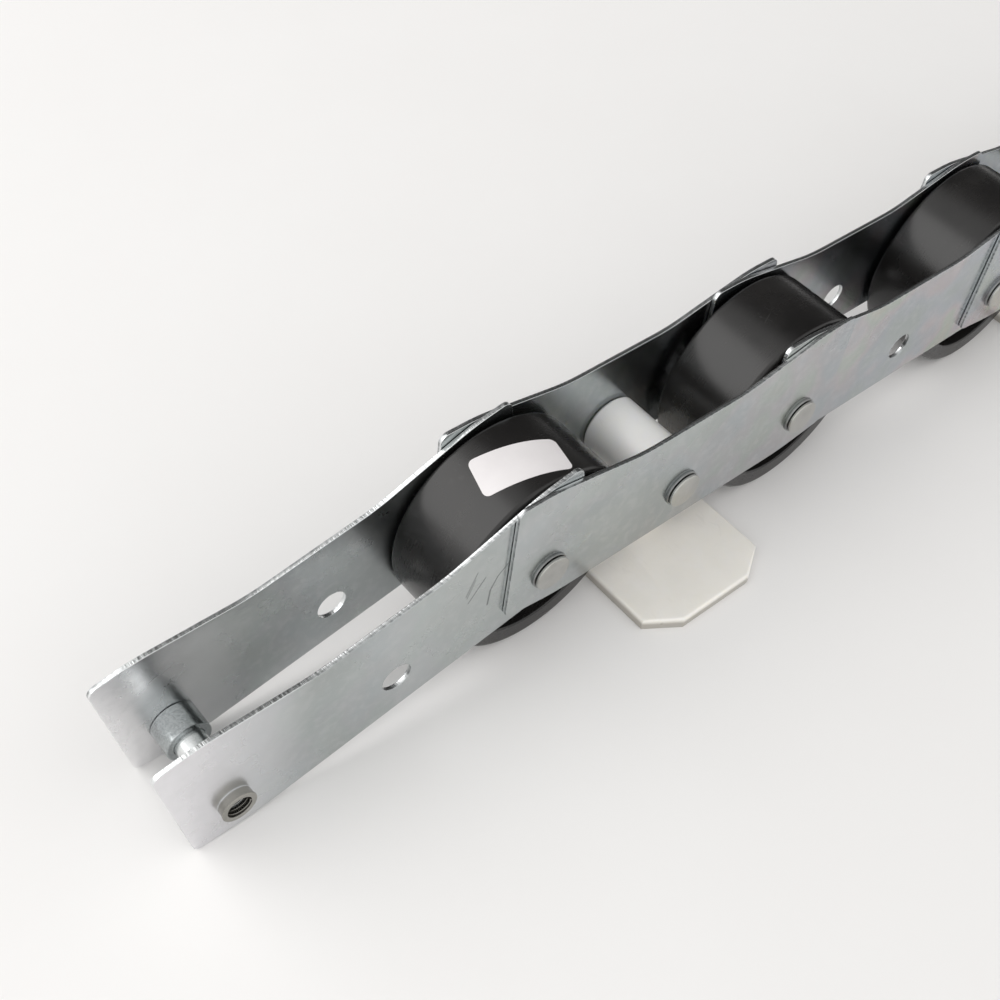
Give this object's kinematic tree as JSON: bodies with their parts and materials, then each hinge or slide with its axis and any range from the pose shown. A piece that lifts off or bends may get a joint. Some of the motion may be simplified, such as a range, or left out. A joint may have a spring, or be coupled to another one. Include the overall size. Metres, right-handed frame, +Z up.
{
  "type": "escalator chain",
  "caption": "Escalator guide chain of alternating zinc-plated plate links on headed pins, with black ball-bearing rollers at the joints and white T-shaped guide shoes below.",
  "frame": {"origin": "on the floor under the middle of the centre link", "axes": "+X along the chain, +Y towards the rear plates, +Z up"},
  "size_m": [0.7226, 0.105, 0.0876],
  "materials": {
    "zinc_plate": "zinc-plated sheet steel, cloudy with a faint iridescence",
    "zinc_washer": "zinc-plated steel washer",
    "bright_steel": "turned bright steel",
    "bearing_steel": "ground bearing steel",
    "cage_nylon": "moulded nylon",
    "seal_rubber": "moulded rubber seal",
    "black_nylon": "moulded black nylon with faint turning marks",
    "white_nylon": "moulded natural nylon, slightly translucent"
  },
  "bodies": {
    "link_1": {"link_1_front_plate": "zinc_plate", "link_1_rear_plate": "zinc_plate", "end_pin_1": "bright_steel", "end_sleeves_1": "bright_steel"},
    "link_2": {"link_2_front_plate": "zinc_plate", "link_2_rear_plate": "zinc_plate", "joint_pin_1": "bright_steel", "joint_washers_1": "zinc_washer", "joint_sleeves_1": "bright_steel", "bearing_inner_ring_1": "bearing_steel", "joint_pin_2": "bright_steel", "joint_washers_2": "zinc_washer", "joint_sleeves_2": "bright_steel", "bearing_inner_ring_2": "bearing_steel", "guide_pin_1": "bright_steel", "guide_washers_1": "zinc_washer"},
    "link_3": {"link_3_front_plate": "zinc_plate", "link_3_rear_plate": "zinc_plate"},
    "link_4": {"link_4_front_plate": "zinc_plate", "link_4_rear_plate": "zinc_plate", "joint_pin_3": "bright_steel", "joint_washers_3": "zinc_washer", "joint_sleeves_3": "bright_steel", "bearing_inner_ring_3": "bearing_steel", "joint_pin_4": "bright_steel", "joint_washers_4": "zinc_washer", "joint_sleeves_4": "bright_steel", "bearing_inner_ring_4": "bearing_steel", "guide_pin_2": "bright_steel", "guide_washers_2": "zinc_washer"},
    "link_5": {"link_5_front_plate": "zinc_plate", "link_5_rear_plate": "zinc_plate", "end_pin_2": "bright_steel", "end_sleeves_2": "bright_steel"},
    "roller_1": {"roller_1": "black_nylon", "bearing_outer_ring_1": "bearing_steel", "bearing_seals_1": "seal_rubber"},
    "cage_1": {"bearing_cage_1": "cage_nylon", "bearing_balls_1": "bearing_steel"},
    "roller_2": {"roller_2": "black_nylon", "bearing_outer_ring_2": "bearing_steel", "bearing_seals_2": "seal_rubber"},
    "cage_2": {"bearing_cage_2": "cage_nylon", "bearing_balls_2": "bearing_steel"},
    "roller_3": {"roller_3": "black_nylon", "bearing_outer_ring_3": "bearing_steel", "bearing_seals_3": "seal_rubber"},
    "cage_3": {"bearing_cage_3": "cage_nylon", "bearing_balls_3": "bearing_steel"},
    "roller_4": {"roller_4": "black_nylon", "bearing_outer_ring_4": "bearing_steel", "bearing_seals_4": "seal_rubber"},
    "cage_4": {"bearing_cage_4": "cage_nylon", "bearing_balls_4": "bearing_steel"},
    "guide_1": {"guide_shoe_1": "white_nylon"},
    "guide_2": {"guide_shoe_2": "white_nylon"}
  },
  "joints": [
    {"name": "link_2_swing", "type": "hinge", "parent": "link_3", "child": "link_2", "pos_m": [-0.0675, 0, 0.042], "axis": [0, 1, 0], "range_deg": [-35, 35]},
    {"name": "link_4_swing", "type": "hinge", "parent": "link_3", "child": "link_4", "pos_m": [0.0675, 0, 0.042], "axis": [0, 1, 0], "range_deg": [-35, 35]},
    {"name": "link_1_swing", "type": "hinge", "parent": "link_2", "child": "link_1", "pos_m": [-0.2025, 0, 0.042], "axis": [0, 1, 0], "range_deg": [-24, 45]},
    {"name": "link_5_swing", "type": "hinge", "parent": "link_4", "child": "link_5", "pos_m": [0.2025, 0, 0.042], "axis": [0, 1, 0], "range_deg": [-45, 24]},
    {"name": "roller_1_spin", "type": "hinge", "parent": "link_2", "child": "roller_1", "pos_m": [-0.2025, 0, 0.042], "axis": [0, 1, 0], "continuous": true},
    {"name": "cage_1_spin", "type": "hinge", "parent": "link_2", "child": "cage_1", "pos_m": [-0.2025, 0, 0.042], "axis": [0, 1, 0], "continuous": true},
    {"name": "roller_2_spin", "type": "hinge", "parent": "link_2", "child": "roller_2", "pos_m": [-0.0675, 0, 0.042], "axis": [0, 1, 0], "continuous": true},
    {"name": "cage_2_spin", "type": "hinge", "parent": "link_2", "child": "cage_2", "pos_m": [-0.0675, 0, 0.042], "axis": [0, 1, 0], "continuous": true},
    {"name": "roller_3_spin", "type": "hinge", "parent": "link_4", "child": "roller_3", "pos_m": [0.0675, 0, 0.042], "axis": [0, 1, 0], "continuous": true},
    {"name": "cage_3_spin", "type": "hinge", "parent": "link_4", "child": "cage_3", "pos_m": [0.0675, 0, 0.042], "axis": [0, 1, 0], "continuous": true},
    {"name": "roller_4_spin", "type": "hinge", "parent": "link_4", "child": "roller_4", "pos_m": [0.2025, 0, 0.042], "axis": [0, 1, 0], "continuous": true},
    {"name": "cage_4_spin", "type": "hinge", "parent": "link_4", "child": "cage_4", "pos_m": [0.2025, 0, 0.042], "axis": [0, 1, 0], "continuous": true},
    {"name": "guide_1_tilt", "type": "hinge", "parent": "link_2", "child": "guide_1", "pos_m": [-0.135, 0, 0.042], "axis": [0, 1, 0], "range_deg": [-8, 8]},
    {"name": "guide_2_tilt", "type": "hinge", "parent": "link_4", "child": "guide_2", "pos_m": [0.135, 0, 0.042], "axis": [0, 1, 0], "range_deg": [-8, 8]}
  ],
  "couplings": [
    {"joint": "cage_1_spin", "follows": "roller_1_spin", "ratio": 0.6352},
    {"joint": "cage_2_spin", "follows": "roller_2_spin", "ratio": 0.6352},
    {"joint": "cage_3_spin", "follows": "roller_3_spin", "ratio": 0.6352},
    {"joint": "cage_4_spin", "follows": "roller_4_spin", "ratio": 0.6352}
  ]
}
